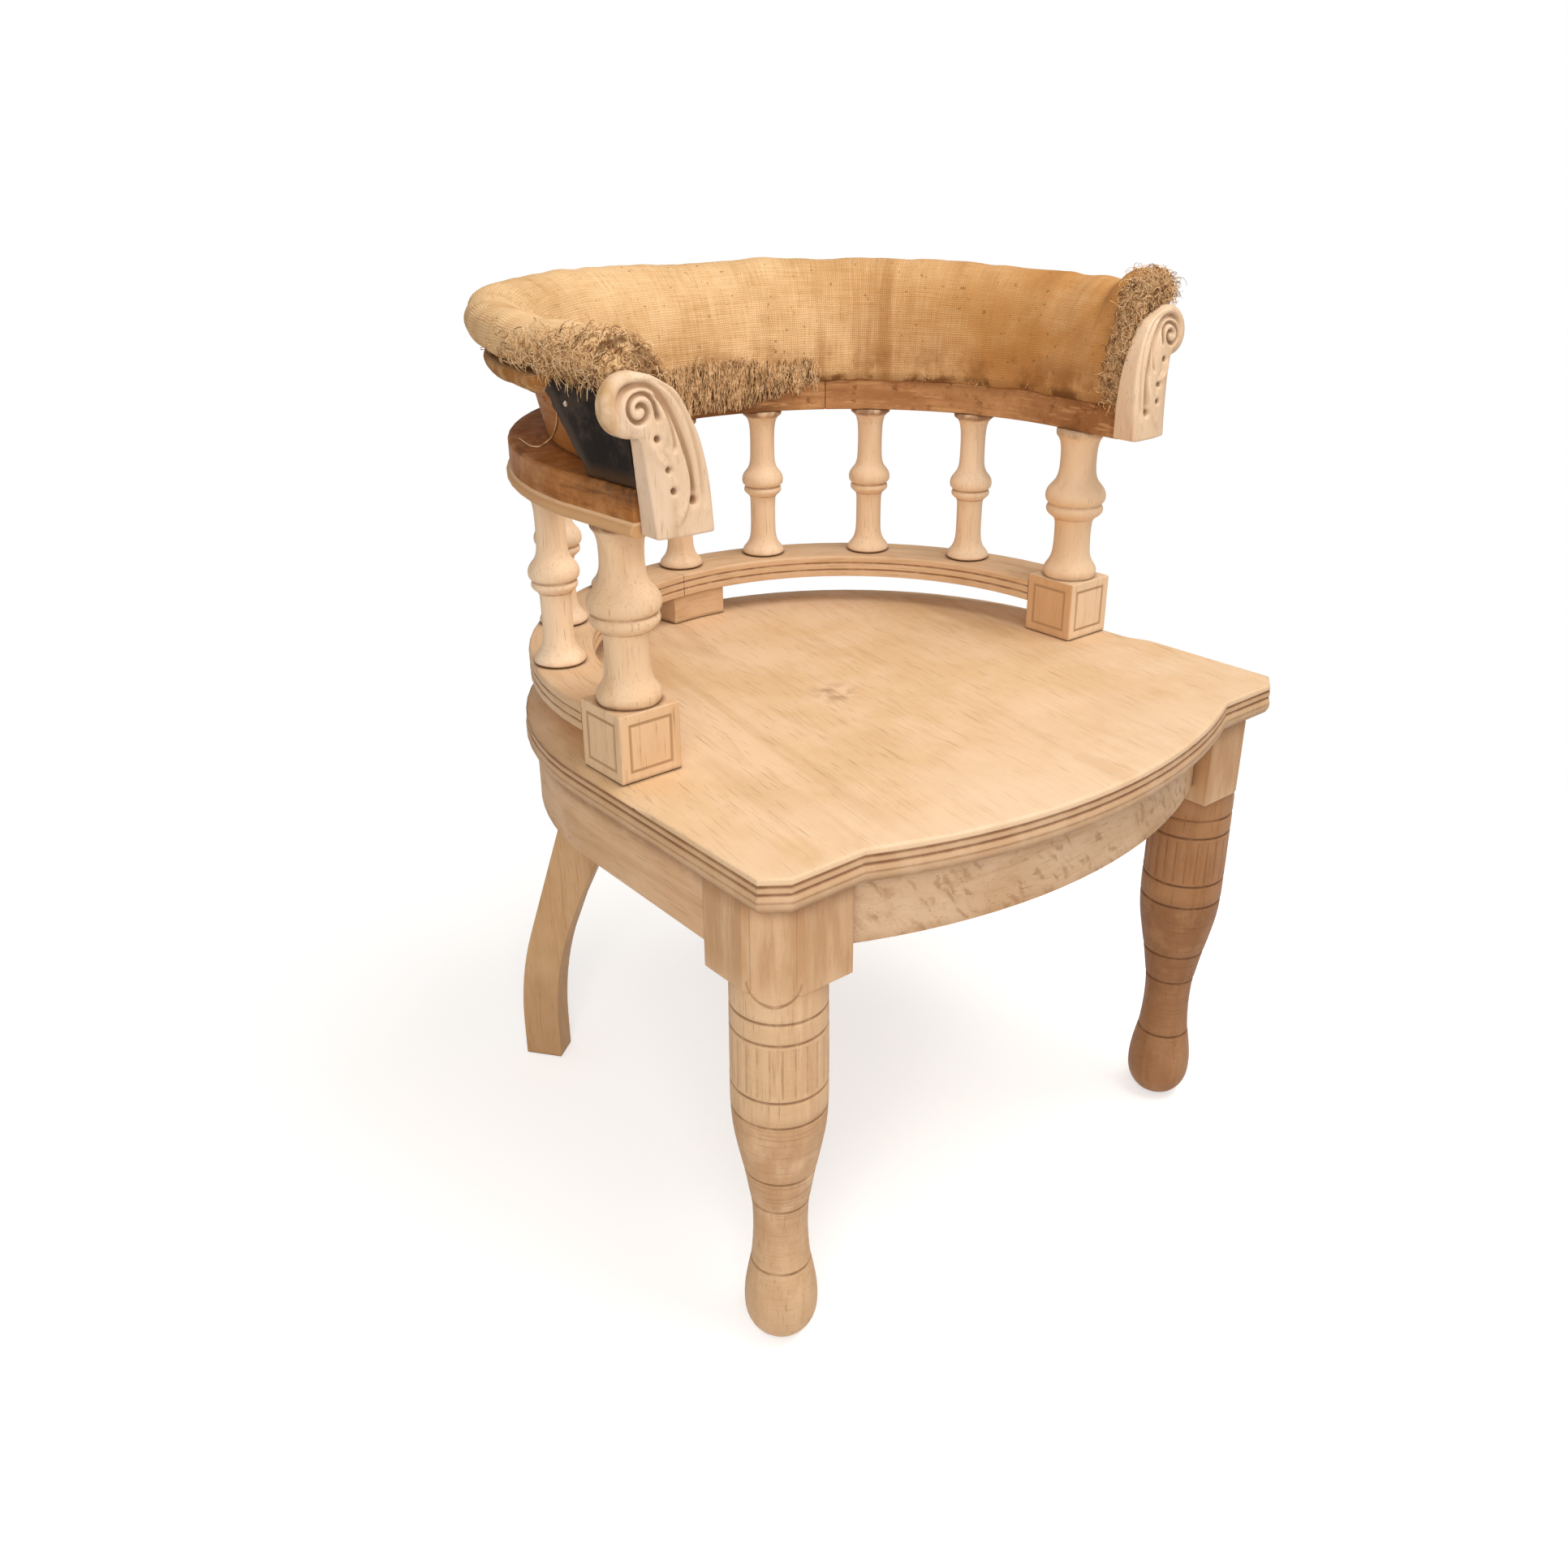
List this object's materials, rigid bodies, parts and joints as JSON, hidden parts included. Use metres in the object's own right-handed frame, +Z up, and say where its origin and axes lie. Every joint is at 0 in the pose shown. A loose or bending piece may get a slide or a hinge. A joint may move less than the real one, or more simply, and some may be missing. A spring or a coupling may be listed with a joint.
{
  "type": "tub-back desk armchair",
  "caption": "Oak desk armchair with a horseshoe back: turned front legs, swept rear legs, a spindle gallery, scroll consoles at the arm ends and a hessian-covered crest roll.",
  "frame": {"origin": "middle of the chair's bounding box, on the floor under the feet", "axes": "+Z up, the sitter faces -Y, -X is the left side as seen from the front"},
  "size_m": [0.618, 0.602, 0.778],
  "materials": {
    "pale_oak": "stripped and bleached, matt",
    "brown_oak": "aged, raw and matt",
    "hidden_oak": "sawn, unfinished",
    "hessian": "coarse plain weave, worn",
    "black_cloth": "fine dull weave",
    "dull_steel": "dull"
  },
  "bodies": {
    "root": {"seat_board": "pale_oak", "front_seat_rail": "pale_oak", "left_seat_rail": "pale_oak", "right_seat_rail": "pale_oak", "back_seat_rail": "pale_oak", "front_leg_left": "pale_oak", "front_leg_right": "pale_oak", "rear_leg_left": "pale_oak", "rear_leg_right": "pale_oak", "rear_leg_screw_left_1": "dull_steel", "rear_leg_screw_left_2": "dull_steel", "rear_leg_screw_right_1": "dull_steel", "rear_leg_screw_right_2": "dull_steel", "glue_block_front_left": "hidden_oak", "glue_block_front_right": "hidden_oak", "glue_block_left": "hidden_oak", "glue_block_back": "hidden_oak", "glue_block_right": "hidden_oak", "arm_post_left": "pale_oak", "arm_post_right": "pale_oak", "gallery_rail_left": "pale_oak", "gallery_rail_right": "pale_oak", "gallery_spacer": "pale_oak", "spindle_1": "pale_oak", "spindle_2": "pale_oak", "spindle_3": "pale_oak", "spindle_4": "pale_oak", "spindle_5": "pale_oak", "spindle_6": "pale_oak", "spindle_7": "pale_oak", "arm_bow_left": "brown_oak", "arm_bow_back": "brown_oak", "arm_bow_right": "brown_oak", "scroll_console_left": "pale_oak", "scroll_console_right": "pale_oak", "crest_core_left": "hidden_oak", "crest_core_back": "hidden_oak", "crest_core_right": "hidden_oak", "hessian_roll": "hessian", "outside_lining": "black_cloth"}
  },
  "joints": []
}
